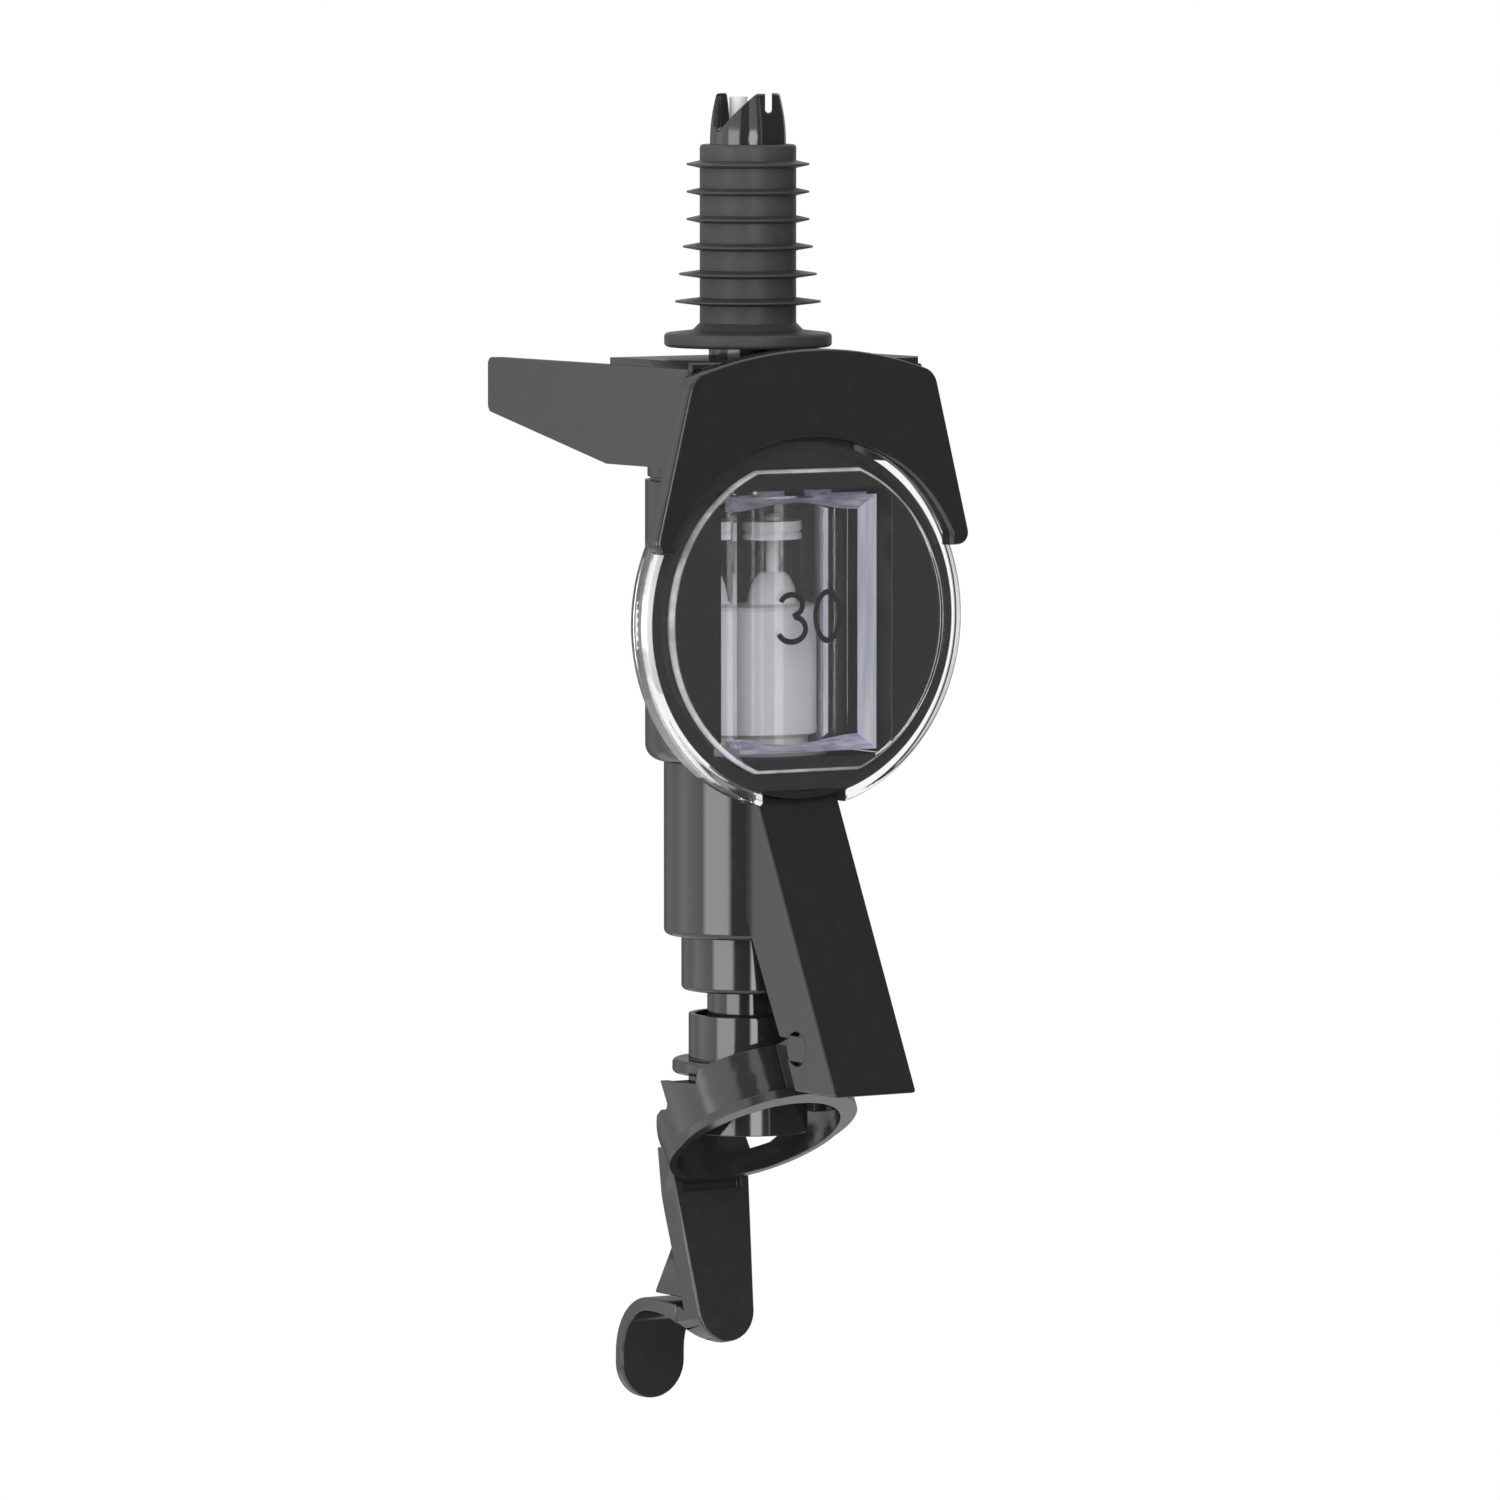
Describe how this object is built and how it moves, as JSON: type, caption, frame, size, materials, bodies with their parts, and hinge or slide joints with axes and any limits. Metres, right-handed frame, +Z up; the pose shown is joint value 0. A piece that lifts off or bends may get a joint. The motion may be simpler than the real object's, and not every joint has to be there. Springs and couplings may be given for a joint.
{
  "type": "liquor optic",
  "caption": "Wall-bar spirit measure: cork with fins, hooded column with a windowed dose chamber, and a glass-operated lever that lifts the spout.",
  "frame": {"origin": "on the column axis, on top of the cork's flange, where the lip of the upturned bottle rests", "axes": "+Z up along the column into the bottle, -Y out of the window and the front leg, +X to the right seen from the front"},
  "size_m": [0.063, 0.0832, 0.2205],
  "materials": {
    "cork_rubber": "matt moulded rubber, charcoal",
    "black_gloss": "gloss black moulded plastic",
    "black_satin": "satin black moulded plastic",
    "white_plastic": "white moulded plastic",
    "clear_cover": "clear polished plastic",
    "clear_tint": "clear plastic with a faint violet tint",
    "soft_seal": "soft black seal rubber",
    "spring_steel": "drawn stainless wire"
  },
  "bodies": {
    "body": {"stopper": "cork_rubber", "inlet_tube": "black_gloss", "air_tube": "white_plastic", "bracket_hood": "black_satin", "chamber_head": "black_gloss", "head_seal": "soft_seal", "chamber_body": "black_satin", "measuring_chamber": "clear_tint", "front_cover": "clear_cover", "dose_insert": "white_plastic", "flow_plate": "white_plastic", "outlet_tube": "black_gloss", "outlet_bush": "black_gloss", "stem_seal": "soft_seal", "front_leg": "black_satin", "return_spring": "spring_steel"},
    "spout": {"valve_rod": "white_plastic", "inlet_valve": "white_plastic", "valve_seal": "soft_seal", "valve_stem": "black_gloss", "spout_cup": "black_gloss"},
    "lever": {"lever": "black_gloss"}
  },
  "joints": [
    {"name": "lever_hinge", "type": "hinge", "parent": "body", "child": "lever", "pos_m": [0, -0.0268, -0.117], "axis": [1, 0, 0], "range_deg": [0, 6.8]},
    {"name": "spout_slide", "type": "slide", "parent": "body", "child": "spout", "axis": [0, 0, 1], "range_m": [0, 0.0032], "stiffness_N_per_m": 100, "springref_m": -0.004, "deforming": ["return_spring"]}
  ],
  "couplings": [
    {"joint": "lever_hinge", "follows": "spout_slide", "rad_per_m": 37}
  ]
}
